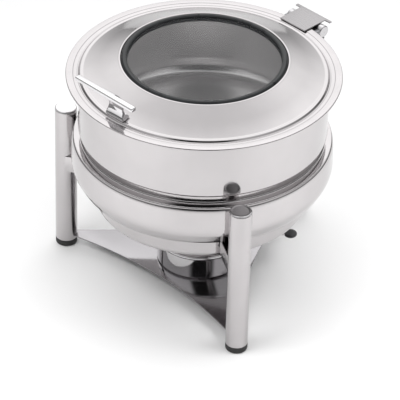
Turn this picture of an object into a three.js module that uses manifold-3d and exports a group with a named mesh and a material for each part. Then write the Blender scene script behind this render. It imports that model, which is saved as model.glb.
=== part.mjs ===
// Round roll top chafer on three tube legs.
//
// A polished water pan hangs between the legs on three brackets. A straight body ring stands on the
// pan's rim and carries the food pan and the hinge of the lid. The lid is a shallow dome with a round
// glass window and a bar handle. A round fuel burner with a swivelling damper stands on the base
// plate. Millimetres, +Z up, the lid's hinge at +Y and its handle at -Y.

import * as THREE from 'three';
import { mergeVertices } from 'three/addons/utils/BufferGeometryUtils.js';
import Module from 'manifold-3d';

const wasm = await Module();
wasm.setup();

// ---- driving dimensions ----

const gap = 0.3;
const roundSteps = 40;
const cupSteps = 32;
const tubeSteps = 20;
const smallSteps = 16;

const legCircle = 205.3;
const legAngles = { rear: 90, left: 210, right: 330 };
const tubeRadius = 16;
const tubeWall = 1.5;
const footHeight = 10;
const tubeTop = 236.9;
const capTop = 239.6;

const plateTop = 17.8;
const plateThickness = 2;
const plateEdge = 80.3;
const plateEdgeRadius = 600;

const bracketTop = 163;
const bracketHeight = 26;
const bracketInner = 162.4;
const bracketSheet = 2;

const burnerRadius = 63.3;
const burnerRim = 58.2;
const damperAngle = 47;
const damperPivot = 50;
const damperOpening = 30;
const leverReach = 133;

const sheet = 1.2;
const ringRadius = 179;
const ringTop = 335.4;
const ledgeTop = 331.6;

const lidRadius = 196.5;
const lidTop = 338.5;
const collarRadius = 118.2;
const glassRadius = 113.3;
const glassBottom = 357.6;
const glassThickness = 4;

const handleReach = 193;
const handleHeight = 388;
const handleLength = 113;
const handleDepth = 9.5;
const handleThickness = 6.6;
const neckWidth = 33;

const hingeY = 212.5;
const hingeZ = 329.2;
const barrelRadius = 9.2;
const barrelEnd = 34;
const knuckleHalf = 12;
const leafHalf = 24.5;
const leafFront = 180.5;
const leafRear = 228;
const leafThickness = 2;

// The origin is under the middle of the outline, so the vessel's axis stands a little in front of it.
const axisY = (handleReach + handleDepth / 2 - leafRear) / 2;

// ---- materials ----

function finish(color, roughness, metalness) {
  return () => new THREE.MeshStandardMaterial({ color, roughness, metalness });
}

const polished = finish(0xd6d4d4, 0.12, 1);
const satin = finish(0xc9c6c7, 0.3, 1);
const chrome = finish(0xe6e5e6, 0.06, 1);
const darkSteel = finish(0x4a484b, 0.35, 0.8);
const blackRubber = finish(0x121214, 0.75, 0);
const blackPlastic = finish(0x17171a, 0.45, 0);
const tintedGlass = finish(0x8b8f94, 0.04, 0);

// ---- shape helpers ----

function turned(profile, steps) {
  const points = profile.map(([r, z]) => new THREE.Vector2(r, z));
  if (profile[0][0] > 0) {
    points.push(points[0].clone());
  }
  const geometry = new THREE.LatheGeometry(points, steps);
  geometry.rotateX(Math.PI / 2);
  return geometry;
}

function outline(points) {
  return new THREE.Shape(points.map(([x, y]) => new THREE.Vector2(x, y)));
}

// An upright prism over an outline in X and Y.
function prism(points, low, high) {
  const geometry = new THREE.ExtrudeGeometry(outline(points), { depth: high - low, bevelEnabled: false });
  geometry.translate(0, 0, low);
  return geometry;
}

// A prism along X over an outline in Y and Z.
function crossPrism(points, left, right) {
  const geometry = new THREE.ExtrudeGeometry(outline(points), { depth: right - left, bevelEnabled: false });
  geometry.rotateZ(Math.PI / 2);
  geometry.rotateY(Math.PI / 2);
  geometry.translate(left, 0, 0);
  return geometry;
}

function rod(radius, from, to, steps = smallSteps) {
  const start = new THREE.Vector3(...from);
  const end = new THREE.Vector3(...to);
  const along = end.clone().sub(start);
  const geometry = new THREE.CylinderGeometry(radius, radius, along.length(), steps);
  const turn = new THREE.Quaternion();
  turn.setFromUnitVectors(new THREE.Vector3(0, 1, 0), along.clone().normalize());
  geometry.applyQuaternion(turn);
  const middle = start.add(end).multiplyScalar(0.5);
  geometry.translate(middle.x, middle.y, middle.z);
  return geometry;
}

function block(low, high) {
  const geometry = new THREE.BoxGeometry(high[0] - low[0], high[1] - low[1], high[2] - low[2]);
  geometry.translate((low[0] + high[0]) / 2, (low[1] + high[1]) / 2, (low[2] + high[2]) / 2);
  return geometry;
}

function toSolid(geometry) {
  geometry.deleteAttribute('normal');
  geometry.deleteAttribute('uv');
  const merged = mergeVertices(geometry, 0.0001);
  const index = merged.index.array;
  const kept = [];
  for (let i = 0; i < index.length; i += 3) {
    const [a, b, c] = [index[i], index[i + 1], index[i + 2]];
    if (a !== b && b !== c && c !== a) {
      kept.push(a, b, c);
    }
  }
  const vertProperties = Float32Array.from(merged.attributes.position.array);
  const triVerts = Uint32Array.from(kept);
  return new wasm.Manifold(new wasm.Mesh({ numProp: 3, vertProperties, triVerts }));
}

function toGeometry(solid) {
  const mesh = solid.getMesh();
  const geometry = new THREE.BufferGeometry();
  geometry.setAttribute('position', new THREE.BufferAttribute(Float32Array.from(mesh.vertProperties), 3));
  geometry.setIndex(new THREE.BufferAttribute(Uint32Array.from(mesh.triVerts), 1));
  geometry.computeVertexNormals();
  return geometry;
}

function cut(body, tools) {
  let solid = toSolid(body);
  for (const tool of tools) {
    solid = solid.subtract(toSolid(tool));
  }
  return toGeometry(solid);
}

const chafer = new THREE.Group();
chafer.position.y = axisY;

function place(name, geometry, material, parent = chafer) {
  const mesh = new THREE.Mesh(geometry, material());
  mesh.name = name;
  parent.add(mesh);
  return mesh;
}

function degrees(angle) {
  return angle * Math.PI / 180;
}

// ---- base plate: three hollow edges that meet in a tongue at each leg ----

function plateOutline() {
  const points = [];
  const copeRadius = tubeRadius + gap;
  const steps = 14;
  for (const angle of [30, 150, 270]) {
    const side = degrees(angle);
    const [nx, ny] = [Math.cos(side), Math.sin(side)];
    const halfSpan = 160;
    for (let i = 0; i <= steps; i += 1) {
      const along = -halfSpan + 2 * halfSpan * i / steps;
      const out = plateEdge + along * along / (2 * plateEdgeRadius);
      points.push([out * nx - along * ny, out * ny + along * nx]);
    }
    const leg = degrees(angle + 60);
    const [lx, ly] = [Math.cos(leg), Math.sin(leg)];
    for (const across of [-6, -3, 0, 3, 6]) {
      const reach = legCircle - Math.sqrt(copeRadius * copeRadius - across * across);
      points.push([reach * lx - across * ly, reach * ly + across * lx]);
    }
  }
  return points;
}

place('base_plate', prism(plateOutline(), plateTop - plateThickness, plateTop), polished);

// ---- legs: tube, top cap, rubber foot and pan bracket, each built on +X and turned in place ----

const tubeInner = tubeRadius - tubeWall;
const plugRadius = tubeInner - gap;

function tubeShape() {
  const low = footHeight + gap;
  return turned([[tubeInner, low], [tubeRadius, low], [tubeRadius, tubeTop], [tubeInner, tubeTop]], tubeSteps);
}

function capShape() {
  const low = tubeTop + gap;
  return turned([
    [0, low - 9], [plugRadius - 1, low - 9], [plugRadius, low - 8], [plugRadius, low],
    [tubeRadius - 0.4, low], [tubeRadius, low + 0.6], [tubeRadius - 0.4, low + 1.6],
    [tubeRadius - 1.8, capTop], [tubeRadius - 4.5, capTop - 0.5], [0, capTop - 0.7],
  ], tubeSteps);
}

function footShape() {
  return turned([
    [0, 0], [tubeRadius - 2.2, 0], [tubeRadius - 0.6, 0.8], [tubeRadius, 2.4],
    [tubeRadius, footHeight], [plugRadius, footHeight], [plugRadius, 24], [plugRadius - 1.5, 25.5], [0, 25.5],
  ], tubeSteps);
}

// The bracket is a folded channel, open below, coped round the tube at its outer end.
function bracketShape() {
  const half = tubeRadius;
  const copeRadius = tubeRadius + gap;
  const plan = [[bracketInner, -half]];
  for (const across of [-16, -14.5, -12, -8, -4, 0, 4, 8, 12, 14.5, 16]) {
    plan.push([legCircle - Math.sqrt(copeRadius * copeRadius - across * across), across]);
  }
  plan.push([bracketInner, half]);
  const low = bracketTop - bracketHeight;
  const hollow = half - bracketSheet;
  return cut(prism(plan, low, bracketTop), [
    block([bracketInner - 5, -hollow, low - 5], [legCircle, hollow, bracketTop - bracketSheet]),
  ]);
}

for (const [side, angle] of Object.entries(legAngles)) {
  const arm = new THREE.Group();
  arm.rotation.z = degrees(angle);
  const leg = new THREE.Group();
  leg.position.x = legCircle;
  arm.add(leg);
  place(`leg_tube_${side}`, tubeShape(), polished, leg);
  place(`leg_cap_${side}`, capShape(), chrome, leg);
  place(`rubber_foot_${side}`, footShape(), blackRubber, leg);
  place(`pan_bracket_${side}`, bracketShape(), polished, arm);
  chafer.add(arm);
}

// ---- fuel burner: open cup, cover with a round opening, damper with its lever ----

const cupLow = plateTop + gap;

place('burner_cup', turned([
  [0, cupLow], [60, cupLow], [burnerRadius, cupLow + 2.6], [burnerRadius, 52.6], [64.5, 55.2],
  [63.6, 57.3], [61.7, burnerRim], [59.7, 57.4], [58.9, 55.6], [60.1, 55.2], [61.6, 56.6],
  [62.9, 55.2], [62.3, 52.6], [62.3, cupLow + 3], [59.6, cupLow + 1], [0, cupLow + 1],
], cupSteps), chrome);

const coverLow = burnerRim + gap;
const pivot = [
  damperPivot * Math.cos(degrees(damperAngle)),
  damperPivot * Math.sin(degrees(damperAngle)),
];

place('burner_cover', cut(turned([
  [damperOpening, coverLow], [57.4, coverLow], [57.4, coverLow - 3.4], [58.5, coverLow - 3.4],
  [58.5, coverLow], [62.4, coverLow], [62.4, coverLow + 1], [damperOpening, coverLow + 1],
], cupSteps), [
  rod(2.7, [pivot[0], pivot[1], coverLow - 5], [pivot[0], pivot[1], coverLow + 5]),
]), satin);

const damper = new THREE.Group();
damper.rotation.z = degrees(damperAngle);
chafer.add(damper);

const damperLow = coverLow + 1 + gap;
const damperThickness = 1.2;

function damperOutline() {
  const points = [];
  const disc = damperOpening + 3;
  const neck = 6;
  const start = Math.asin(neck / disc);
  const steps = 24;
  for (let i = 0; i <= steps; i += 1) {
    const angle = start + (2 * Math.PI - 2 * start) * i / steps;
    points.push([disc * Math.cos(angle), disc * Math.sin(angle)]);
  }
  points.push([66, -neck], [66, neck]);
  return points;
}

place('damper_plate', cut(prism(damperOutline(), damperLow, damperLow + damperThickness), [
  rod(2.6, [damperPivot, 0, damperLow - 5], [damperPivot, 0, damperLow + 5]),
]), satin, damper);

const headLow = damperLow + damperThickness + gap;

place('damper_pivot_pin', turned([
  [0, coverLow - 2], [4.4, coverLow - 2], [4.8, coverLow - 1.6], [4.8, coverLow - gap],
  [2.45, coverLow - gap], [2.45, headLow], [4.8, headLow], [4.6, headLow + 0.9], [3.2, headLow + 1.6],
  [0, headLow + 1.8],
], smallSteps), satin, damper).position.x = damperPivot;

const leverLow = headLow;
const leverEnd = 54;

place('damper_lever', (() => {
  const geometry = new THREE.ExtrudeGeometry(outline([
    [57, leverLow], [70, leverLow], [116, leverEnd], [131, leverEnd], [131, leverEnd + 2],
    [116.4, leverEnd + 2], [70.4, leverLow + 2], [57, leverLow + 2],
  ]), { depth: 8, bevelEnabled: false });
  geometry.rotateX(Math.PI / 2);
  geometry.translate(0, 4, 0);
  return geometry;
})(), chrome, damper);

place('lever_knob', cut(turned([
  [0, -2.6], [7.6, -2.6], [9.2, -1.8], [9.8, 0], [9.2, 1.8], [7.6, 2.6], [0, 2.6],
], smallSteps).translate(leverReach, 0, leverEnd + 1), [
  block([leverReach - 15, -4.3, leverEnd - gap], [131.3, 4.3, leverEnd + 2 + gap]),
]), blackPlastic, damper);

// ---- water pan: deep foot, shoulder resting on the brackets, bulged wall and inward rolled rim ----

place('water_pan', turned([
  [0, 126.7], [149, 126.7], [153.6, 128.6], [155.8, 133], [159.5, 160], [162.5, 163.3],
  [171.5, 164], [175.5, 166.4], [179.8, 171.6], [186.8, 185], [188.5, 191.5], [188.9, 198],
  [187.9, 226], [186.6, 230.4], [184.4, 232.1], [181.8, 231], [183, 230.1], [184.4, 230.9],
  [185.6, 229.8], [186.7, 225.9], [187.7, 198.1], [187.3, 191.9], [185.7, 185.5], [178.9, 172.4],
  [174.8, 167.4], [171.1, 165.2], [161.9, 164.5], [158.4, 161.2], [154.7, 133.5], [152.9, 129.7],
  [148.8, 127.9], [0, 127.9],
], roundSteps), polished);

// ---- body ring: locating skirt and flange on the pan's rim, recessed neck, tall wall, pan ledge ----

const ringInner = ringRadius - sheet;
const bracketScrewX = 18;
const bracketScrewZ = 318;

place('body_ring', cut(turned([
  [180.6, 222], [180.6, 232.4], [185.2, 232.4], [185.2, 233.6], [176, 233.6], [174.7, 236],
  [174.7, 245], [176, 246.7], [178.3, 247.6], [ringRadius, 249.6], [ringRadius, 334.4],
  [177.6, ringTop], [176, 334.4], [176, ledgeTop], [171.2, ledgeTop], [171.2, ledgeTop - sheet],
  [ringInner, ledgeTop - sheet], [ringInner, 249.8], [175.4, 247.9], [173.5, 245.4],
  [173.5, 235.6], [175.4, 232.4], [179.4, 232.4], [179.4, 222],
], roundSteps), [-1, 1].map((side) => rod(
  2.4,
  [side * bracketScrewX, 170, bracketScrewZ],
  [side * bracketScrewX, 185, bracketScrewZ],
))), satin);

// ---- food pan: hangs in the ring by its flange ----

place('food_pan', turned([
  [0, 229], [142.5, 229], [152, 230.9], [160.4, 236.4], [166.3, 245], [168.5, 255], [168.5, 330.2],
  [170, 331.9], [175.4, 331.9], [175.4, 332.9], [169.6, 332.9], [167.5, 330.8], [167.5, 255.2],
  [165.4, 245.5], [159.7, 237.2], [151.6, 231.9], [142.4, 230], [0, 230],
], roundSteps), satin);

// ---- lid: turned-down rim, flange with a step, groove and bead, coned dome, window collar ----

const leafScrewX = 17;
const leafScrewY = 190;
const neckScrewX = 9;
const neckScrewY = 168.5;

place('lid_shell', cut(turned([
  [lidRadius, 335.5], [lidRadius, 337.6], [195.7, lidTop], [186.3, lidTop], [185.4, 337.7],
  [180.8, 337.7], [179, 336.7], [177.6, 337.7], [176.4, 339.6], [174.8, 340.2], [171.4, 339.7],
  [147, 350.9], [122.6, 361.3], [120.9, 362.2], [119.3, 362.1], [collarRadius, 360.6],
  [collarRadius, 355.4], [119.4, 355.4], [119.4, 359.6], [122, 360], [146.5, 349.7],
  [171.1, 338.5], [174.8, 339], [176, 337.9], [177, 336.2], [178.8, 335.7], [181.4, 336.5],
  [185.8, 336.5], [186.8, 337.3], [195.3, 337.3], [195.3, 335.5],
], roundSteps), [
  ...[-1, 1].map((side) => rod(
    2, [side * leafScrewX, leafScrewY, 330], [side * leafScrewX, leafScrewY, 345],
  )),
  ...[-1, 1].map((side) => rod(
    2, [side * neckScrewX, -neckScrewY, 330], [side * neckScrewX, -neckScrewY, 345],
  )),
]), satin);

const glassTop = glassBottom + glassThickness;

place('window_gasket', turned([
  [119.4, 352.4], [120.2, 353.6], [119.6, 355.1], [117.9, 355.1], [117.9, 361.4], [115.5, 363.6],
  [112, 363.6], [109.1, glassTop + gap], [113.6, glassTop + gap], [113.6, glassBottom - gap],
  [109.1, glassBottom - gap], [109.1, 355.2], [112, 352.4],
], roundSteps), blackRubber);

place('lid_glass', turned([
  [0, glassBottom], [112.9, glassBottom], [glassRadius, glassBottom + 0.5],
  [glassRadius, glassTop - 0.5], [112.9, glassTop], [0, glassTop],
], roundSteps), tintedGlass);

// ---- handle: a flat round-edged bar on one curved neck, screwed on from under the lid ----

place('handle_bar', (() => {
  const bevel = 2.6;
  const [halfDepth, halfHeight] = [handleDepth / 2 - bevel, handleThickness / 2 - bevel];
  const core = outline([
    [-halfDepth, -halfHeight], [halfDepth, -halfHeight], [halfDepth, halfHeight], [-halfDepth, halfHeight],
  ]);
  const geometry = new THREE.ExtrudeGeometry(core, {
    depth: handleLength - 2 * bevel,
    bevelSize: bevel,
    bevelThickness: bevel,
    bevelSegments: 4,
  });
  geometry.rotateZ(Math.PI / 2);
  geometry.rotateY(Math.PI / 2);
  geometry.translate(-handleLength / 2 + bevel, -handleReach, handleHeight);
  return geometry;
})(), chrome);

place('handle_neck', cut(crossPrism([
  [-162.4, 344.5], [-170.2, 340.9], [-176, 340.9], [-176.4, 341.4], [-176.4, 343.2], [-175.4, 344.4],
  [-174.4, 347], [-173.6, 352], [-173.4, 358], [-174.3, 365], [-177.2, 371.8], [-181.6, 377.8],
  [-187.6, 383.6], [-187.6, 389.4], [-185, 388.6], [-179.6, 383.6], [-174, 377], [-170.6, 369.4],
  [-169.2, 360], [-169, 352], [-167.6, 348.6], [-164, 348],
], -neckWidth / 2, neckWidth / 2), [-1, 1].map((side) => rod(
  1.9, [side * neckScrewX, -neckScrewY, 335], [side * neckScrewX, -neckScrewY, 345.4],
))), chrome);

// ---- hinge: leaf and knuckle on the lid, two barrels and a bracket on the ring, one pin ----

const leafLow = lidTop + gap;
const leafTop = leafLow + leafThickness;
const hingeReach = 40;

place('hinge_leaf', (() => {
  const plate = prism([
    [-leafHalf, leafFront], [leafHalf, leafFront], [leafHalf, leafRear - 4.5], [barrelEnd, leafRear - 4.5],
    [barrelEnd, leafRear], [-barrelEnd, leafRear], [-barrelEnd, leafRear - 4.5], [-leafHalf, leafRear - 4.5],
  ], leafLow, leafTop);
  const knuckle = rod(barrelRadius, [-knuckleHalf, hingeY, hingeZ], [knuckleHalf, hingeY, hingeZ], tubeSteps);
  const web = block([-knuckleHalf, hingeY - 5, hingeZ], [knuckleHalf, hingeY + 5, leafLow + 1]);
  const bore = rod(3.05, [-hingeReach, hingeY, hingeZ], [hingeReach, hingeY, hingeZ]);
  const solid = toSolid(plate).add(toSolid(knuckle)).add(toSolid(web)).subtract(toSolid(bore));
  const holes = [-1, 1].map((side) => toSolid(rod(
    1.9, [side * leafScrewX, leafScrewY, 330], [side * leafScrewX, leafScrewY, leafTop - 0.7],
  )));
  return toGeometry(solid.subtract(holes[0]).subtract(holes[1]));
})(), satin);

for (const [side, sign] of [['left', -1], ['right', 1]]) {
  const inner = knuckleHalf + gap;
  place(`hinge_barrel_${side}`, (() => {
    const length = barrelEnd - inner;
    const geometry = turned([
      [3.05, 0], [barrelRadius, 0], [barrelRadius, length - 1], [barrelRadius - 1, length],
      [0, length], [0, length - 3], [3.05, length - 3],
    ], tubeSteps);
    geometry.rotateY(sign * Math.PI / 2);
    geometry.translate(sign * inner, hingeY, hingeZ);
    return geometry;
  })(), satin);
}

place('hinge_pin', rod(2.95, [-30.6, hingeY, hingeZ], [30.6, hingeY, hingeZ]), chrome);

place('hinge_bracket', cut(crossPrism([
  [176, 334.3], [206, 334.3], [214, 327], [214, 317.8], [198, 309], [176, 303],
], -barrelEnd, barrelEnd), [
  rod(barrelRadius + gap, [-hingeReach, hingeY, hingeZ], [hingeReach, hingeY, hingeZ], tubeSteps),
  rod(ringRadius + gap, [0, 0, 290], [0, 0, 345], roundSteps * 2),
  ...[-1, 1].map((side) => rod(
    2.4, [side * bracketScrewX, 170, bracketScrewZ], [side * bracketScrewX, 188, bracketScrewZ],
  )),
]), darkSteel);

// ---- fasteners: pan-head screws, drawn upright with the head below ----

function screwShape(headRadius, headHeight, shankRadius, length) {
  return turned([
    [0, 0.5], [headRadius - 1.4, 0], [headRadius - 0.3, 0.6], [headRadius, headHeight],
    [shankRadius, headHeight], [shankRadius, length - 0.5], [shankRadius - 0.5, length], [0, length],
  ], smallSteps);
}

for (const [side, sign] of [['left', -1], ['right', 1]]) {
  const leafScrew = place(`leaf_screw_${side}`, screwShape(3.2, 1.7, 1.6, 4.4), satin);
  leafScrew.position.set(sign * leafScrewX, leafScrewY, 335.3);
  const neckScrew = place(`handle_screw_${side}`, screwShape(3.2, 2, 1.6, 9.2), satin);
  neckScrew.position.set(sign * neckScrewX, -neckScrewY, 335.8);
  const bracketScrew = place(`bracket_screw_${side}`, screwShape(3.8, 2.2, 2, 12.6), satin);
  bracketScrew.rotation.x = -Math.PI / 2;
  bracketScrew.position.set(sign * bracketScrewX, 173.3, bracketScrewZ);
}

export default chafer;
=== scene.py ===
import math
from functools import partial

import bpy
from mathutils import Matrix, Vector


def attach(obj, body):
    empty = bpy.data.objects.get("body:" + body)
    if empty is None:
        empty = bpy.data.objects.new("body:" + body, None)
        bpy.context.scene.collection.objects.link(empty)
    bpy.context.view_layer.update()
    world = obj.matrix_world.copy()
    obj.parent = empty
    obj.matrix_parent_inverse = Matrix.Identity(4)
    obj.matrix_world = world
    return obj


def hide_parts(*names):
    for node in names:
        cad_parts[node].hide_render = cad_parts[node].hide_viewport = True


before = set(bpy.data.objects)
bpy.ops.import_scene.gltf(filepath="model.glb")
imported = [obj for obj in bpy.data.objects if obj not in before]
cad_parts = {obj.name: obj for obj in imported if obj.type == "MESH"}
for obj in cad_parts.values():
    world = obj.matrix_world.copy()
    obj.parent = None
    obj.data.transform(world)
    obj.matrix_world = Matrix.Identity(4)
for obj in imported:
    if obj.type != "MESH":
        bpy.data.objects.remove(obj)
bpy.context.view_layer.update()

# ---------------------------------------------------------------- sizes, in millimetres

MM = 0.001
AXIS_Y = -15.125
CLEARANCE = 0.3
MERGE_DISTANCE = 0.01
SHARP_BEND = 0.01
SHARP_EDGE = 0.001

LEG_CIRCLE = 205.3
LEG_ANGLES = {"rear": 90, "left": 210, "right": 330}
LEG_CENTRE = (LEG_CIRCLE, 0)
LEG_RADIUS = 16
LEG_WALL = 1.5
FOOT_HEIGHT = 10
LEG_TOP = 236.9

PLATE_TOP = 17.8
PLATE_SHEET = 2
PLATE_TIP = 206.5
PLATE_SIDES = (30, 150, 270)
PLATE_EDGE = 80.3
PLATE_EDGE_RADIUS = 600

BRACKET_TOP = 162.8
BRACKET_HEIGHT = 25.8
BRACKET_INNER = 162.4
BRACKET_WIDTH = 32
BRACKET_SHEET = 2

DAMPER_ANGLE = 47
DAMPER_PIVOT = 50
DAMPER_LOW = 59.8
DAMPER_SHEET = 1.2
DAMPER_RADIUS = 33
DAMPER_BORE = 2.7
COVER_BORE = 2.8
LEVER_REACH = 133
LEVER_WIDTH = 8

RING_RADIUS = 179

GLASS_RADIUS = 113.3
GLASS_LOW = 357.6
GLASS_TOP = 361.6

HANDLE_Y = -193
HANDLE_Z = 388
HANDLE_LENGTH = 113
HANDLE_DEPTH = 9.5
HANDLE_THICKNESS = 6.6
NECK_WIDTH = 33

HINGE_Y = 212.5
HINGE_Z = 329.2
BARREL_RADIUS = 9.2
BARREL_START = 12.3
BARREL_END = 34
BARREL_CHAMFER = 1
BARREL_CAP = 3
KNUCKLE_HALF = 12
WEB_HALF = 5
WEB_OVERLAP = 1
PIN_BORE = 3.05
HINGE_REACH = 40
LEAF_LOW = 338.8
LEAF_SHEET = 2

# heights between which a cutter passes right through its piece
PLATE_CUT = (0, 40)
BURNER_CUT = (50, 70)
BRACKET_CUT = (120, 180)
BLOCK_CUT = (290, 345)

# ---------------------------------------------------------------- angles in degrees, shares, steps

SMOOTH_ANGLE = 32
EASE_ANGLE = 28
EASE_STEPS = 3
STRAIGHT_ANGLE = 2
CORNER_STEP = 14
CORNER_SHARE = 0.4

PLATE_STEPS = 512
BLOCK_STEPS = 360
ROUND_STEPS = 144
CUP_STEPS = 96
TUBE_STEPS = 64
SMALL_STEPS = 32


def at(x, y, z):
    """A point given in millimetres from the vessel's axis, as a point of the scene in metres."""
    return Vector((x * MM, (y + AXIS_Y) * MM, z * MM))


def polar(radius, degrees):
    """The x and y of a point at a distance and an angle from the vessel's axis."""
    turn = math.radians(degrees)
    return radius * math.cos(turn), radius * math.sin(turn)


# ---------------------------------------------------------------- modelling steps

def pick(piece):
    """Selects one piece alone and makes it the active one."""
    bpy.ops.object.select_all(action="DESELECT")
    piece.select_set(True)
    bpy.context.view_layer.objects.active = piece


def smooth_shading(piece):
    """Shades the faces smooth and keeps the sharp edges."""
    pick(piece)
    bpy.ops.object.shade_smooth_by_angle(angle=math.radians(SMOOTH_ANGLE))
    return piece


def start_piece(name, point):
    """One vertex at a point, left in edit mode: a small plane merged to its middle."""
    bpy.ops.object.select_all(action="DESELECT")
    bpy.ops.mesh.primitive_plane_add(size=MM, location=point)
    piece = bpy.context.object
    piece.name = name
    piece.data.name = name
    bpy.ops.object.transform_apply(location=True, rotation=False, scale=False)
    bpy.ops.object.mode_set(mode="EDIT")
    bpy.ops.mesh.select_all(action="SELECT")
    bpy.ops.mesh.merge(type="CENTER")
    return piece


def draw_line(points):
    """Extrudes the selected vertex from point to point."""
    for a, b in zip(points, points[1:]):
        bpy.ops.mesh.extrude_vertices_move(TRANSFORM_OT_translate={"value": b - a})


def softened(points, bend, closed):
    """The same outline with each corner rounded, as far as its two sides have room."""
    count = len(points)
    out = []
    for i, here in enumerate(points):
        if not closed and i in (0, count - 1):
            out.append(here)
            continue
        corner = Vector(here)
        back = Vector(points[i - 1]) - corner
        ahead = Vector(points[(i + 1) % count]) - corner
        turn = math.pi - back.angle(ahead)
        if turn < math.radians(STRAIGHT_ANGLE):
            out.append(here)
            continue
        room = CORNER_SHARE * min(back.length, ahead.length)
        reach = min(bend * math.tan(turn / 2), room)
        first = corner + back.normalized() * reach
        last = corner + ahead.normalized() * reach
        steps = max(2, round(math.degrees(turn) / CORNER_STEP))
        for k in range(steps + 1):
            t = k / steps
            p = first * (1 - t) ** 2 + corner * 2 * t * (1 - t) + last * t * t
            out.append((p.x, p.y))
    return out


def spun(name, points, steps, centre, axis):
    """A line drawn from point to point and spun once round an axis, its meeting vertices joined."""
    piece = start_piece(name, points[0])
    draw_line(points)
    bpy.ops.mesh.select_all(action="SELECT")
    bpy.ops.mesh.spin(steps=steps, angle=2 * math.pi, center=centre, axis=axis, use_auto_merge=True)
    bpy.ops.mesh.select_all(action="SELECT")
    bpy.ops.mesh.remove_doubles(threshold=MERGE_DISTANCE * MM)
    bpy.ops.mesh.normals_make_consistent(inside=False)
    bpy.ops.object.mode_set(mode="OBJECT")
    return smooth_shading(piece)


def turned(name, profile, steps, bend, closed=True, centre=(0, 0)):
    """A piece turned about an upright axis: its profile is (radius, height)."""
    outline = softened(profile, bend, closed)
    if closed:
        outline.append(outline[0])
    x, y = centre
    points = [at(x + radius, y, height) for radius, height in outline]
    return spun(name, points, steps, at(x, y, 0), (0, 0, 1))


def turned_on_hinge(name, profile, steps, bend):
    """A piece turned about the hinge's axis: its profile is (radius, distance along +X)."""
    outline = softened(profile, bend, True)
    outline.append(outline[0])
    points = [at(along, HINGE_Y, HINGE_Z + radius) for radius, along in outline]
    return spun(name, points, steps, at(0, HINGE_Y, HINGE_Z), (1, 0, 0))


def pushed(name, corners, through):
    """A flat outline drawn corner by corner, filled and pushed through its thickness."""
    piece = start_piece(name, corners[0])
    draw_line(corners)
    bpy.ops.mesh.select_all(action="SELECT")
    bpy.ops.mesh.edge_face_add()
    bpy.ops.mesh.extrude_region_move(TRANSFORM_OT_translate={"value": through})
    bpy.ops.mesh.select_all(action="SELECT")
    bpy.ops.mesh.normals_make_consistent(inside=False)
    bpy.ops.object.mode_set(mode="OBJECT")
    return piece


def apply_modifier(piece, modifier):
    pick(piece)
    bpy.ops.object.modifier_apply(modifier=modifier.name)


def ease(piece, rounding):
    """Rounds every sharp edge."""
    bevel = piece.modifiers.new("ease", "BEVEL")
    bevel.width = rounding * MM
    bevel.segments = EASE_STEPS
    bevel.limit_method = "ANGLE"
    bevel.angle_limit = math.radians(EASE_ANGLE)
    apply_modifier(piece, bevel)
    return smooth_shading(piece)


def combine(piece, operation, other):
    boolean = piece.modifiers.new("combine", "BOOLEAN")
    boolean.operation = operation
    boolean.solver = "EXACT"
    boolean.object = other
    apply_modifier(piece, boolean)
    bpy.data.objects.remove(other)


def cut_away(piece, cutter):
    """Cuts the cutter's shape out of the piece, and takes the cutter away."""
    combine(piece, "DIFFERENCE", cutter)


def add_on(piece, other):
    """Joins another solid to the piece, and takes the other away."""
    combine(piece, "UNION", other)


def post(radius, centre, heights, steps):
    """A round upright cutter between two heights."""
    low, high = heights
    bpy.ops.object.select_all(action="DESELECT")
    middle = at(*centre, (low + high) / 2)
    bpy.ops.mesh.primitive_cylinder_add(
        vertices=steps, radius=radius * MM, depth=(high - low) * MM, location=middle
    )
    bpy.ops.object.transform_apply(location=True, rotation=False, scale=False)
    return bpy.context.object


def bar_along_x(radius, half, steps):
    """A round bar along the hinge's axis, to cut with or to join on."""
    bpy.ops.object.select_all(action="DESELECT")
    bpy.ops.mesh.primitive_cylinder_add(
        vertices=steps, radius=radius * MM, depth=2 * half * MM,
        location=at(0, HINGE_Y, HINGE_Z), rotation=(0, math.pi / 2, 0),
    )
    bpy.ops.object.transform_apply(location=True, rotation=True, scale=False)
    return bpy.context.object


def turn_about_axis(piece, degrees):
    """Turns a piece's mesh about the vessel's axis; the operator counts angles the other way."""
    pick(piece)
    bpy.ops.object.mode_set(mode="EDIT")
    bpy.ops.mesh.select_all(action="SELECT")
    bpy.ops.transform.rotate(
        value=-math.radians(degrees), orient_axis="Z", center_override=at(0, 0, 0)
    )
    bpy.ops.object.mode_set(mode="OBJECT")


def turned_copy(piece, name, degrees):
    """A copy with its own mesh, turned about the vessel's axis."""
    copy = piece.copy()
    copy.data = piece.data.copy()
    copy.name = name
    copy.data.name = name
    bpy.context.scene.collection.objects.link(copy)
    turn_about_axis(copy, degrees)
    return copy


def taper(piece, height, share):
    """Narrows the part of a piece above a height, towards its middle."""
    pick(piece)
    for vertex in piece.data.vertices:
        vertex.select = vertex.co.z > height * MM
    for edge in piece.data.edges:
        edge.select = all(piece.data.vertices[v].select for v in edge.vertices)
    for face in piece.data.polygons:
        face.select = all(piece.data.vertices[v].select for v in face.vertices)
    bpy.ops.object.mode_set(mode="EDIT")
    bpy.ops.transform.resize(value=(share, 1, 1), center_override=at(0, HANDLE_Y, height))
    bpy.ops.object.mode_set(mode="OBJECT")


# ---------------------------------------------------------------- materials

def new_material(name):
    material = bpy.data.materials.new(name)
    material.use_nodes = True
    nodes = material.node_tree.nodes
    links = material.node_tree.links
    return material, nodes, links, nodes["Principled BSDF"]


def object_place(nodes, links, scale=(1, 1, 1)):
    """Object coordinates measured from the vessel's axis."""
    coordinates = nodes.new("ShaderNodeTexCoord")
    mapping = nodes.new("ShaderNodeMapping")
    mapping.inputs["Location"].default_value = (0, -AXIS_Y * MM * scale[1], 0)
    mapping.inputs["Scale"].default_value = scale
    links.new(coordinates.outputs["Object"], mapping.inputs["Vector"])
    return mapping.outputs["Vector"]


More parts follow.
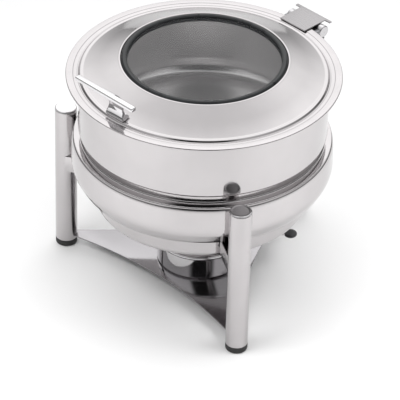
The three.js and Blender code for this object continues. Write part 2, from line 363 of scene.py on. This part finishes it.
def noise(nodes, links, vector, scale, detail, rough=0.5):
    texture = nodes.new("ShaderNodeTexNoise")
    texture.inputs["Scale"].default_value = scale
    texture.inputs["Detail"].default_value = detail
    texture.inputs["Roughness"].default_value = rough
    links.new(vector, texture.inputs["Vector"])
    return texture.outputs["Fac"]


def spread(nodes, links, value, low, high):
    """A noise value spread between two limits."""
    ranged = nodes.new("ShaderNodeMapRange")
    ranged.inputs["From Min"].default_value = 0.25
    ranged.inputs["From Max"].default_value = 0.75
    ranged.inputs["To Min"].default_value = low
    ranged.inputs["To Max"].default_value = high
    links.new(value, ranged.inputs["Value"])
    return ranged.outputs["Result"]


def lathe_grain(nodes, links, fineness):
    """Fine lines running round the vessel's axis, on walls and on flat faces alike."""
    place = object_place(nodes, links)
    split = nodes.new("ShaderNodeSeparateXYZ")
    links.new(place, split.inputs["Vector"])
    flat = nodes.new("ShaderNodeCombineXYZ")
    links.new(split.outputs["X"], flat.inputs["X"])
    links.new(split.outputs["Y"], flat.inputs["Y"])
    radius = nodes.new("ShaderNodeVectorMath")
    radius.operation = "LENGTH"
    links.new(flat.outputs["Vector"], radius.inputs[0])
    both = nodes.new("ShaderNodeCombineXYZ")
    for value, socket, factor in (
        (radius.outputs["Value"], "X", fineness),
        (split.outputs["Z"], "Y", fineness),
        (split.outputs["X"], "Z", 6.0),
    ):
        scaled = nodes.new("ShaderNodeMath")
        scaled.operation = "MULTIPLY"
        scaled.inputs[1].default_value = factor
        links.new(value, scaled.inputs[0])
        links.new(scaled.outputs["Value"], both.inputs[socket])
    return noise(nodes, links, both.outputs["Vector"], scale=1.0, detail=3.0, rough=0.6)


def straight_grain(nodes, links, scale):
    """Fine lines along the axis whose scale is smallest."""
    place = object_place(nodes, links, scale)
    return noise(nodes, links, place, scale=1.0, detail=3.0, rough=0.6)


def metal(
    name, tone, rough, grain, grain_depth, wave_depth,
    rough_swing=0.05, smear_swing=0.018, metallic=1.0,
):
    """Steel with a polishing or brushing grain, a slight waviness and faint smears; depths in mm."""
    material, nodes, links, shader = new_material(name)
    shader.inputs["Metallic"].default_value = metallic
    lines = grain(nodes, links)
    smears = noise(nodes, links, object_place(nodes, links), scale=26.0, detail=4.0)
    tint = nodes.new("ShaderNodeMix")
    tint.data_type = "RGBA"
    tint.inputs["A"].default_value = (*[c * 0.94 for c in tone], 1)
    tint.inputs["B"].default_value = (*tone, 1)
    links.new(spread(nodes, links, smears, 0, 1), tint.inputs["Factor"])
    links.new(tint.outputs["Result"], shader.inputs["Base Color"])
    blend = nodes.new("ShaderNodeMath")
    blend.operation = "ADD"
    brushed = spread(nodes, links, lines, rough - rough_swing, rough + rough_swing)
    smeared = spread(nodes, links, smears, -smear_swing, smear_swing)
    links.new(brushed, blend.inputs[0])
    links.new(smeared, blend.inputs[1])
    links.new(blend.outputs["Value"], shader.inputs["Roughness"])
    waves = noise(nodes, links, object_place(nodes, links), scale=9.0, detail=1.0)
    wavy = nodes.new("ShaderNodeBump")
    wavy.inputs["Strength"].default_value = 1.0
    wavy.inputs["Distance"].default_value = wave_depth * MM
    links.new(waves, wavy.inputs["Height"])
    scored = nodes.new("ShaderNodeBump")
    scored.inputs["Strength"].default_value = 0.5
    scored.inputs["Distance"].default_value = grain_depth * MM
    links.new(lines, scored.inputs["Height"])
    links.new(wavy.outputs["Normal"], scored.inputs["Normal"])
    links.new(scored.outputs["Normal"], shader.inputs["Normal"])
    return material


def moulded(name, tone, rough, grain_scale, grain_depth, gloss=0.5):
    """Moulded rubber or plastic: a dull skin with a fine pebbled grain and some dust."""
    material, nodes, links, shader = new_material(name)
    shader.inputs["Specular IOR Level"].default_value = gloss
    place = object_place(nodes, links)
    pebbles = noise(nodes, links, place, scale=grain_scale, detail=2.0)
    dust = noise(nodes, links, place, scale=60.0, detail=5.0)
    tint = nodes.new("ShaderNodeMix")
    tint.data_type = "RGBA"
    tint.inputs["A"].default_value = (*tone, 1)
    tint.inputs["B"].default_value = (*[c * 1.6 + 0.006 for c in tone], 1)
    links.new(spread(nodes, links, dust, 0, 1), tint.inputs["Factor"])
    links.new(tint.outputs["Result"], shader.inputs["Base Color"])
    links.new(spread(nodes, links, dust, rough - 0.06, rough + 0.08), shader.inputs["Roughness"])
    bump = nodes.new("ShaderNodeBump")
    bump.inputs["Strength"].default_value = 0.4
    bump.inputs["Distance"].default_value = grain_depth * MM
    links.new(pebbles, bump.inputs["Height"])
    links.new(bump.outputs["Normal"], shader.inputs["Normal"])
    return material


def window_glass(name):
    """Toughened lid glass with a light grey tint: it lets light through and keeps a clear gloss."""
    material, nodes, links, shader = new_material(name)
    shader.inputs["Alpha"].default_value = 0.08
    shader.inputs["Specular IOR Level"].default_value = 0.5
    haze = noise(nodes, links, object_place(nodes, links), scale=14.0, detail=3.0)
    tint = nodes.new("ShaderNodeMix")
    tint.data_type = "RGBA"
    tint.inputs["A"].default_value = (0.10, 0.105, 0.11, 1)
    tint.inputs["B"].default_value = (0.12, 0.122, 0.128, 1)
    links.new(spread(nodes, links, haze, 0, 1), tint.inputs["Factor"])
    links.new(tint.outputs["Result"], shader.inputs["Base Color"])
    links.new(spread(nodes, links, haze, 0.02, 0.05), shader.inputs["Roughness"])
    return material


STEEL_TONE = (0.55, 0.53, 0.535)

polished_steel = metal(
    "polished steel", STEEL_TONE, 0.09,
    grain=partial(lathe_grain, fineness=1400), grain_depth=0.006, wave_depth=0.05,
)
soft_steel = metal(
    "soft polished steel", STEEL_TONE, 0.11,
    grain=partial(lathe_grain, fineness=1100), grain_depth=0.012, wave_depth=0.05,
)
# painted light: the food pan's steel has a much brighter tone than the other stainless and a partly diffuse
# finish, standing in for the light that reaches the pan through the window
pan_steel_with_painted_light = metal(
    "satin pan steel", (0.86, 0.85, 0.85), 0.24,
    grain=partial(lathe_grain, fineness=1000), grain_depth=0.001, wave_depth=0.02,
    rough_swing=0.008, smear_swing=0.004, metallic=0.74,
)
# painted shade: the plate's steel is a darker copy of the polished steel, standing in for the dark
# reflection of the pan's shaded underside
plate_steel_with_painted_shade = metal(
    "mirror plate steel", (0.37, 0.36, 0.37), 0.09,
    grain=partial(straight_grain, scale=(900, 60, 900)), grain_depth=0.005, wave_depth=0.05,
)
tube_steel = metal(
    "brushed tube steel", (0.54, 0.52, 0.525), 0.18,
    grain=partial(straight_grain, scale=(700, 700, 30)), grain_depth=0.012, wave_depth=0.02,
)
fitting_steel = metal(
    "satin fitting steel", (0.58, 0.57, 0.58), 0.26,
    grain=partial(straight_grain, scale=(60, 900, 900)), grain_depth=0.012, wave_depth=0.02,
)
bright_chrome = metal(
    "bright chrome", (0.72, 0.71, 0.72), 0.06,
    grain=partial(straight_grain, scale=(500, 500, 500)), grain_depth=0.002, wave_depth=0.01,
    rough_swing=0.02,
)
burner_steel = metal(
    "burner steel", (0.76, 0.75, 0.76), 0.08,
    grain=partial(lathe_grain, fineness=1300), grain_depth=0.008, wave_depth=0.04,
)
leaf_steel = metal(
    "brushed leaf steel", (0.33, 0.32, 0.325), 0.28,
    grain=partial(straight_grain, scale=(60, 900, 900)), grain_depth=0.012, wave_depth=0.02,
)
hinge_steel = metal(
    "dark bracket steel", (0.24, 0.24, 0.25), 0.34,
    grain=partial(straight_grain, scale=(60, 800, 800)), grain_depth=0.02, wave_depth=0.03,
)
foot_rubber = moulded("black foot rubber", (0.018, 0.018, 0.018), 0.62, grain_scale=1400, grain_depth=0.12)
knob_plastic = moulded("black knob plastic", (0.016, 0.016, 0.017), 0.34, grain_scale=1800, grain_depth=0.05)
seal_rubber = moulded(
    "black window seal", (0.010, 0.011, 0.012), 0.30, grain_scale=1500, grain_depth=0.03, gloss=0.28
)
tinted_glass = window_glass("grey window glass")


def finish_piece(piece, material, body, slot, *nodes):
    """Gives a piece its material and its body, and hides the frame parts that it stands for."""
    piece.data.materials.clear()
    piece.data.materials.append(material)
    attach(piece, body)
    if nodes:
        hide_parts(*nodes)
    return piece


# ---------------------------------------------------------------- stand

def base_plate():
    """A three-pointed plate: a triangle whose sides are cut hollow and whose tips fit the legs."""
    corners = [at(*polar(PLATE_TIP, a), PLATE_TOP - PLATE_SHEET) for a in LEG_ANGLES.values()]
    plate = pushed("three_pointed_base_plate", corners, (0, 0, PLATE_SHEET * MM))
    for angle in PLATE_SIDES:
        side = polar(PLATE_EDGE + PLATE_EDGE_RADIUS, angle)
        cut_away(plate, post(PLATE_EDGE_RADIUS, side, PLATE_CUT, PLATE_STEPS))
    for angle in LEG_ANGLES.values():
        leg = polar(LEG_CIRCLE, angle)
        cut_away(plate, post(LEG_RADIUS + CLEARANCE, leg, PLATE_CUT, TUBE_STEPS))
    return ease(plate, 0.35)


def leg_tube():
    """The round tube, its ends cut square and eased."""
    bore = LEG_RADIUS - LEG_WALL
    low = FOOT_HEIGHT + CLEARANCE
    profile = [(bore, low), (LEG_RADIUS, low), (LEG_RADIUS, LEG_TOP), (bore, LEG_TOP)]
    return turned("round_leg_tube", profile, TUBE_STEPS, 0.5, centre=LEG_CENTRE)


def leg_cap():
    """A cap with a rolled rim and a slightly dished top, its plug inside the tube."""
    profile = [
        (0, 228.2), (14, 228.2), (14, 237.1), (15.6, 237.2), (16, 237.8), (15.6, 238.8),
        (14.2, 239.6), (11.5, 239.1), (0, 238.9),
    ]
    return turned("leg_top_cap", profile, TUBE_STEPS, 1.2, closed=False, centre=LEG_CENTRE)


def rubber_foot():
    """A foot with a rounded lower edge, its plug inside the tube."""
    profile = [
        (0, 0), (13.8, 0), (15.4, 0.8), (16, 2.4), (16, FOOT_HEIGHT), (14.2, FOOT_HEIGHT),
        (14.2, 25.5), (0, 25.5),
    ]
    return turned("rubber_leg_foot", profile, TUBE_STEPS, 1.0, closed=False, centre=LEG_CENTRE)


def pan_bracket():
    """A short folded channel, open below, coped to the leg; its nose carries the pan."""
    half = BRACKET_WIDTH / 2
    low = BRACKET_TOP - BRACKET_HEIGHT
    corners = [
        at(BRACKET_INNER, -half, low), at(BRACKET_INNER, -half, BRACKET_TOP),
        at(BRACKET_INNER, half, BRACKET_TOP), at(BRACKET_INNER, half, low),
    ]
    piece = start_piece("folded_pan_bracket", corners[0])
    draw_line(corners)
    bpy.ops.mesh.select_all(action="SELECT")
    reach = (LEG_CIRCLE - BRACKET_INNER) * MM
    bpy.ops.mesh.extrude_edges_move(TRANSFORM_OT_translate={"value": (reach, 0, 0)})
    bpy.ops.mesh.select_all(action="SELECT")
    bpy.ops.mesh.normals_make_consistent(inside=False)
    bpy.ops.object.mode_set(mode="OBJECT")
    sheet = piece.modifiers.new("sheet", "SOLIDIFY")
    sheet.thickness = BRACKET_SHEET * MM
    sheet.offset = -1
    sheet.use_even_offset = True
    apply_modifier(piece, sheet)
    cut_away(piece, post(LEG_RADIUS + CLEARANCE, LEG_CENTRE, BRACKET_CUT, TUBE_STEPS))
    return ease(piece, 0.9)


finish_piece(base_plate(), plate_steel_with_painted_shade, "stand", "polished_steel", "base_plate")

for stem, piece, material, slot in (
    ("leg_tube", leg_tube(), tube_steel, "polished_steel"),
    ("leg_cap", leg_cap(), bright_chrome, "chrome"),
    ("rubber_foot", rubber_foot(), foot_rubber, "black_rubber"),
    ("pan_bracket", pan_bracket(), polished_steel, "polished_steel"),
):
    for side, angle in LEG_ANGLES.items():
        copy = turned_copy(piece, f"{piece.name}_{side}", angle)
        finish_piece(copy, material, "stand", slot, f"{stem}_{side}")
    bpy.data.objects.remove(piece)

# ---------------------------------------------------------------- burner

burner = turned(
    "burner_cup_wall",
    [
        (0, 18.1), (60, 18.1), (63.3, 20.7), (63.3, 52.6), (64.5, 55.2), (63.6, 57.3), (61.7, 58.2),
        (59.7, 57.4), (58.9, 55.6), (60.1, 55.2), (61.6, 56.6), (62.9, 55.2), (62.3, 52.6),
        (62.3, 21.1), (59.6, 19.1), (0, 19.1),
    ],
    CUP_STEPS, 2.5, closed=False,
)
finish_piece(burner, burner_steel, "burner", "chrome", "burner_cup")

cover = turned(
    "burner_top_cover",
    [
        (30, 58.5), (57.4, 58.5), (57.4, 55.1), (58.5, 55.1), (58.5, 58.5), (62.4, 58.5), (62.4, 59.5),
        (30, 59.5),
    ],
    CUP_STEPS, 0.35,
)
cut_away(cover, post(COVER_BORE, polar(DAMPER_PIVOT, DAMPER_ANGLE), BURNER_CUT, SMALL_STEPS))
smooth_shading(cover)
finish_piece(cover, soft_steel, "burner", "satin_steel", "burner_cover")


def damper_plate():
    """The swivelling lid of the burner: a disc with a short neck, turned to its resting angle."""
    top = DAMPER_LOW + DAMPER_SHEET
    profile = [(0, DAMPER_LOW), (DAMPER_RADIUS, DAMPER_LOW), (DAMPER_RADIUS, top), (0, top)]
    disc = turned("burner_damper_plate", profile, CUP_STEPS, SHARP_BEND, closed=False)
    corners = [at(x, y, DAMPER_LOW) for x, y in ((20, -6), (66, -6), (66, 6), (20, 6))]
    add_on(disc, ease(pushed("neck", corners, (0, 0, DAMPER_SHEET * MM)), SHARP_EDGE))
    cut_away(disc, post(DAMPER_BORE, (DAMPER_PIVOT, 0), BURNER_CUT, SMALL_STEPS))
    ease(disc, 0.2)
    turn_about_axis(disc, DAMPER_ANGLE)
    return disc


finish_piece(damper_plate(), soft_steel, "damper", "satin_steel", "damper_plate")


def damper_lever():
    """A narrow strip bent down over the burner's edge."""
    profile = [
        (57, 61.3), (70, 61.3), (116, 54), (131, 54), (131, 56), (116.4, 56), (70.4, 63.3),
        (57, 63.3),
    ]
    corners = [at(x, LEVER_WIDTH / 2, z) for x, z in profile]
    strip = ease(pushed("damper_lever_strip", corners, (0, -LEVER_WIDTH * MM, 0)), 0.5)
    turn_about_axis(strip, DAMPER_ANGLE)
    return strip


finish_piece(damper_lever(), bright_chrome, "damper", "chrome", "damper_lever")

knob = turned(
    "lever_end_knob",
    [(0, 52.4), (7.6, 52.4), (9.2, 53.2), (9.8, 55), (9.2, 56.8), (7.6, 57.6), (0, 57.6)],
    SMALL_STEPS * 2, 2.0, closed=False, centre=(LEVER_REACH, 0),
)
turn_about_axis(knob, DAMPER_ANGLE)
finish_piece(knob, knob_plastic, "damper", "black_plastic", "lever_knob")

# ---------------------------------------------------------------- pans and ring

water_pan = turned(
    "round_water_pan",
    [
        (0, 126.7), (149, 126.7), (153.6, 128.6), (155.8, 133), (159.5, 160), (162.5, 163.3),
        (171.5, 164), (175.5, 166.4), (179.8, 171.6), (186.8, 185), (188.5, 191.5), (188.9, 198),
        (187.9, 226), (186.6, 230.4), (184.4, 232.1), (181.8, 231), (183, 230.1), (184.4, 230.9),
        (185.6, 229.8), (186.7, 225.9), (187.7, 198.1), (187.3, 191.9), (185.7, 185.5),
        (178.9, 172.4), (174.8, 167.4), (171.1, 165.2), (161.9, 164.5), (158.4, 161.2),
        (154.7, 133.5), (152.9, 129.7), (148.8, 127.9), (0, 127.9),
    ],
    ROUND_STEPS, 14.0, closed=False,
)
finish_piece(water_pan, polished_steel, "water_pan", "polished_steel", "water_pan")

body_ring = turned(
    "straight_body_ring",
    [
        (180.6, 222), (180.6, 232.4), (185.2, 232.4), (185.2, 233.6), (176, 233.6), (174.7, 236),
        (174.7, 245), (176, 246.7), (178.3, 247.6), (179, 249.6), (179, 334.4), (177.6, 335.4),
        (176, 334.4), (176, 331.6), (171.2, 331.6), (171.2, 330.4), (177.8, 330.4), (177.8, 249.8),
        (175.4, 247.9), (173.5, 245.4), (173.5, 235.6), (175.4, 232.4), (179.4, 232.4), (179.4, 222),
    ],
    ROUND_STEPS, 3.0,
)
finish_piece(body_ring, soft_steel, "upper_body", "satin_steel", "body_ring")

food_pan = turned(
    "deep_food_pan",
    [
        (0, 229), (142.5, 229), (152, 230.9), (160.4, 236.4), (166.3, 245), (168.5, 255),
        (168.5, 330.2), (170, 331.9), (175.4, 331.9), (175.4, 332.9), (169.6, 332.9),
        (167.5, 330.8), (167.5, 255.2), (165.4, 245.5), (159.7, 237.2), (151.6, 231.9),
        (142.4, 230), (0, 230),
    ],
    ROUND_STEPS, 14.0, closed=False,
)
finish_piece(food_pan, pan_steel_with_painted_light, "upper_body", "satin_steel", "food_pan")

# ---------------------------------------------------------------- lid

lid_shell = turned(
    "domed_lid_shell",
    [
        (196.5, 335.5), (196.5, 337.6), (195.7, 338.5), (186.3, 338.5), (185.4, 337.7),
        (180.8, 337.7), (179, 336.7), (177.6, 337.7), (176.4, 339.6), (174.8, 340.2), (171.4, 339.7),
        (147, 350.9), (122.6, 361.3), (120.9, 362.2), (119.3, 362.1), (118.2, 360.6), (118.2, 355.4),
        (119.4, 355.4), (119.4, 359.6), (122, 360), (146.5, 349.7), (171.1, 338.5), (174.8, 339),
        (176, 337.9), (177, 336.2), (178.8, 335.7), (181.4, 336.5), (185.8, 336.5), (186.8, 337.3),
        (195.3, 337.3), (195.3, 335.5),
    ],
    ROUND_STEPS, 2.5,
)
finish_piece(lid_shell, polished_steel, "lid", "polished_steel", "lid_shell")

gasket = turned(
    "window_seal_ring",
    [
        (119.4, 352.4), (120.2, 353.6), (119.6, 355.1), (117.9, 355.1), (117.9, 361.4),
        (115.5, 363.6), (112, 363.6), (109.1, 361.9), (113.6, 361.9), (113.6, 357.3),
        (109.1, 357.3), (109.1, 355.2), (112, 352.4),
    ],
    ROUND_STEPS, 1.2,
)
finish_piece(gasket, seal_rubber, "lid", "black_plastic", "window_gasket")

profile = [(0, GLASS_LOW), (GLASS_RADIUS, GLASS_LOW), (GLASS_RADIUS, GLASS_TOP), (0, GLASS_TOP)]
glass = turned("round_window_pane", profile, ROUND_STEPS, 0.8, closed=False)
finish_piece(glass, tinted_glass, "lid", "tinted_glass", "lid_glass")


def handle_bar():
    """A flat bar with rounded long edges: its section is drawn, filled and drawn out, then eased."""
    half_depth, half_height = HANDLE_DEPTH / 2, HANDLE_THICKNESS / 2
    section = [
        (-half_depth, -half_height), (half_depth, -half_height), (half_depth, half_height),
        (-half_depth, half_height),
    ]
    rounded = softened(section, 2.6, True)
    corners = [at(-HANDLE_LENGTH / 2, HANDLE_Y + y, HANDLE_Z + z) for y, z in rounded]
    return ease(pushed("flat_handle_bar", corners, (HANDLE_LENGTH * MM, 0, 0)), 1.6)


finish_piece(handle_bar(), bright_chrome, "lid", "chrome", "handle_bar")


def handle_neck():
    """A wide strip bent up and out to the bar, its foot flat on the lid."""
    profile = softened(
        [
            (-162.4, 344.5), (-170.2, 340.9), (-176, 340.9), (-176.4, 341.4), (-176.4, 343.2),
            (-175.4, 344.4), (-174.4, 347), (-173.6, 352), (-173.4, 358), (-174.3, 365),
            (-177.2, 371.8), (-181.6, 377.8), (-187.6, 383.6), (-187.6, 389.4), (-185, 388.6),
            (-179.6, 383.6), (-174, 377), (-170.6, 369.4), (-169.2, 360), (-169, 352),
            (-167.6, 348.6), (-164, 348),
        ],
        9.0, True,
    )
    corners = [at(-NECK_WIDTH / 2, y, z) for y, z in profile]
    neck = ease(pushed("curved_handle_neck", corners, (NECK_WIDTH * MM, 0, 0)), 0.9)
    taper(neck, 347, 0.86)
    taper(neck, 353, 0.9)
    return neck


finish_piece(handle_neck(), bright_chrome, "lid", "chrome", "handle_neck")

# ---------------------------------------------------------------- hinge


def hinge_leaf():
    """A T-shaped leaf with the middle knuckle under it, bored for the pin."""
    outline = [
        (-24.5, 180.5), (24.5, 180.5), (24.5, 223.5), (34, 223.5), (34, 228), (-34, 228),
        (-34, 223.5), (-24.5, 223.5),
    ]
    corners = [at(x, y, LEAF_LOW) for x, y in outline]
    leaf = ease(pushed("t_shaped_hinge_leaf", corners, (0, 0, LEAF_SHEET * MM)), 0.4)
    web_rise = LEAF_LOW + WEB_OVERLAP - HINGE_Z
    web_corners = [
        at(x * KNUCKLE_HALF, HINGE_Y + y * WEB_HALF, HINGE_Z)
        for x, y in ((-1, -1), (1, -1), (1, 1), (-1, 1))
    ]
    add_on(leaf, ease(pushed("web", web_corners, (0, 0, web_rise * MM)), SHARP_EDGE))
    add_on(leaf, bar_along_x(BARREL_RADIUS, KNUCKLE_HALF, TUBE_STEPS))
    cut_away(leaf, bar_along_x(PIN_BORE, HINGE_REACH, SMALL_STEPS))
    return smooth_shading(leaf)


finish_piece(hinge_leaf(), leaf_steel, "lid", "satin_steel", "hinge_leaf")

for side, sign in (("left", -1), ("right", 1)):
    barrel = turned_on_hinge(
        f"hinge_end_barrel_{side}",
        [
            (PIN_BORE, sign * BARREL_START), (BARREL_RADIUS, sign * BARREL_START),
            (BARREL_RADIUS, sign * (BARREL_END - BARREL_CHAMFER)),
            (BARREL_RADIUS - BARREL_CHAMFER, sign * BARREL_END), (0, sign * BARREL_END),
            (0, sign * (BARREL_END - BARREL_CAP)), (PIN_BORE, sign * (BARREL_END - BARREL_CAP)),
        ],
        TUBE_STEPS, 0.8,
    )
    finish_piece(barrel, fitting_steel, "upper_body", "satin_steel", f"hinge_barrel_{side}")


def hinge_bracket():
    """The block that holds the barrels to the ring, hollowed to the ring's curve."""
    profile = [(176, 334.3), (206, 334.3), (214, 327), (214, 317.8), (198, 309), (176, 303)]
    corners = [at(-BARREL_END, y, z) for y, z in profile]
    block = ease(pushed("hinge_mounting_block", corners, (2 * BARREL_END * MM, 0, 0)), 0.8)
    cut_away(block, bar_along_x(BARREL_RADIUS + CLEARANCE, HINGE_REACH, TUBE_STEPS))
    cut_away(block, post(RING_RADIUS + CLEARANCE, (0, 0), BLOCK_CUT, BLOCK_STEPS))
    return smooth_shading(block)


finish_piece(hinge_bracket(), hinge_steel, "upper_body", "dark_steel", "hinge_bracket")

for name in (
    "hinge_pin", "damper_pivot_pin", "leaf_screw_left", "leaf_screw_right", "handle_screw_left",
    "handle_screw_right", "bracket_screw_left", "bracket_screw_right",
):
    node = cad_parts[name]
    node.data.materials.clear()
    node.data.materials.append(fitting_steel)

# ---------------------------------------------------------------- floor, light and camera, in metres

FLOOR_SIDE = 14
SOFTBOXES = (
    # name, place, aim, side, watts
    ("overhead_softbox", (0.0, 0.0, 3.2), (0, 0, 0.2), 4.5, 20),
    ("left_floor_softbox", (-0.16, -0.78, 0.95), (-0.16, -0.78, 0), 0.6, 5.5),
    ("right_floor_softbox", (0.70, 0.33, 0.95), (0.70, 0.33, 0), 0.6, 5.5),
)
CAMERA_PLACE = Vector((2.53307, -2.61277, 2.68477))
CAMERA_AIM = Vector((-0.00097, -0.01607, 0.11583))
CAMERA_ROLL = 1.44
CAMERA_REACH = 50
LENS_LENGTH = 274.5
SENSOR_WIDTH = 36


def floor_material():
    """White painted board with a very faint mottling."""
    material, nodes, links, shader = new_material("white studio floor")
    place = object_place(nodes, links)
    mottling = noise(nodes, links, place, scale=3.0, detail=3.0)
    tint = nodes.new("ShaderNodeMix")
    tint.data_type = "RGBA"
    tint.inputs["A"].default_value = (0.88, 0.88, 0.88, 1)
    tint.inputs["B"].default_value = (0.90, 0.90, 0.90, 1)
    links.new(mottling, tint.inputs["Factor"])
    links.new(tint.outputs["Result"], shader.inputs["Base Color"])
    shader.inputs["Roughness"].default_value = 0.9
    return material


bpy.ops.object.select_all(action="DESELECT")
bpy.ops.mesh.primitive_plane_add(size=FLOOR_SIDE, location=(0, 0, 0))
floor = bpy.context.object
floor.name = "studio_floor"
floor.data.materials.append(floor_material())


def softbox(name, place, aim, side, watts):
    """A square area light that lights the scene but isn't mirrored by the steel."""
    data = bpy.data.lights.new(name, "AREA")
    data.shape = "SQUARE"
    data.size = side
    data.energy = watts
    light = bpy.data.objects.new(name, data)
    light.location = place
    light.rotation_euler = (Vector(aim) - Vector(place)).to_track_quat("-Z", "Y").to_euler()
    light.visible_glossy = False
    bpy.context.scene.collection.objects.link(light)


for lamp in SOFTBOXES:
    softbox(*lamp)

world = bpy.data.worlds.new("white studio tent")
world.use_nodes = True
bpy.context.scene.world = world
world_nodes = world.node_tree.nodes
world_links = world.node_tree.links
background = world_nodes["Background"]
direction = world_nodes.new("ShaderNodeTexCoord").outputs["Generated"]


def towards(aim, near, far, low, high):
    """A value that goes smoothly from low to high as the direction comes near to aim."""
    dot = world_nodes.new("ShaderNodeVectorMath")
    dot.operation = "DOT_PRODUCT"
    dot.inputs[1].default_value = Vector(aim).normalized()
    world_links.new(direction, dot.inputs[0])
    ranged = world_nodes.new("ShaderNodeMapRange")
    ranged.interpolation_type = "SMOOTHSTEP"
    ranged.inputs["From Min"].default_value = math.cos(math.radians(far))
    ranged.inputs["From Max"].default_value = math.cos(math.radians(near))
    ranged.inputs["To Min"].default_value = low
    ranged.inputs["To Max"].default_value = high
    world_links.new(dot.outputs["Value"], ranged.inputs["Value"])
    return ranged.outputs["Result"]


def joined(operation, a, b):
    """Two values multiplied or added."""
    node = world_nodes.new("ShaderNodeMath")
    node.operation = operation
    world_links.new(a, node.inputs[0])
    world_links.new(b, node.inputs[1])
    return node.outputs["Value"]


tent = towards((0, 0, 1), near=15, far=88, low=0.14, high=1.0)
back_panel = towards((-0.57, 0.58, 0.58), near=16, far=46, low=0.0, high=1.0)
front_opening = towards((0.57, -0.58, 0.56), near=18, far=32, low=1.0, high=0.02)
brightness = joined("ADD", joined("MULTIPLY", tent, front_opening), back_panel)
tone = world_nodes.new("ShaderNodeCombineColor")
for channel in ("Red", "Green", "Blue"):
    world_links.new(brightness, tone.inputs[channel])
world_links.new(tone.outputs["Color"], background.inputs["Color"])
background.inputs["Strength"].default_value = 1.0

camera_data = bpy.data.cameras.new("camera")
camera_data.lens = LENS_LENGTH
camera_data.sensor_width = SENSOR_WIDTH
camera_data.clip_end = CAMERA_REACH
camera = bpy.data.objects.new("camera", camera_data)
bpy.context.scene.collection.objects.link(camera)
camera.location = CAMERA_PLACE
look = (CAMERA_AIM - CAMERA_PLACE).to_track_quat("-Z", "Y").to_matrix()
roll = Matrix.Rotation(math.radians(CAMERA_ROLL), 3, "Z")
camera.rotation_euler = (look @ roll).to_euler()
bpy.context.scene.camera = camera
bpy.context.scene.view_settings.view_transform = "Standard"

bpy.ops.object.select_all(action="DESELECT")
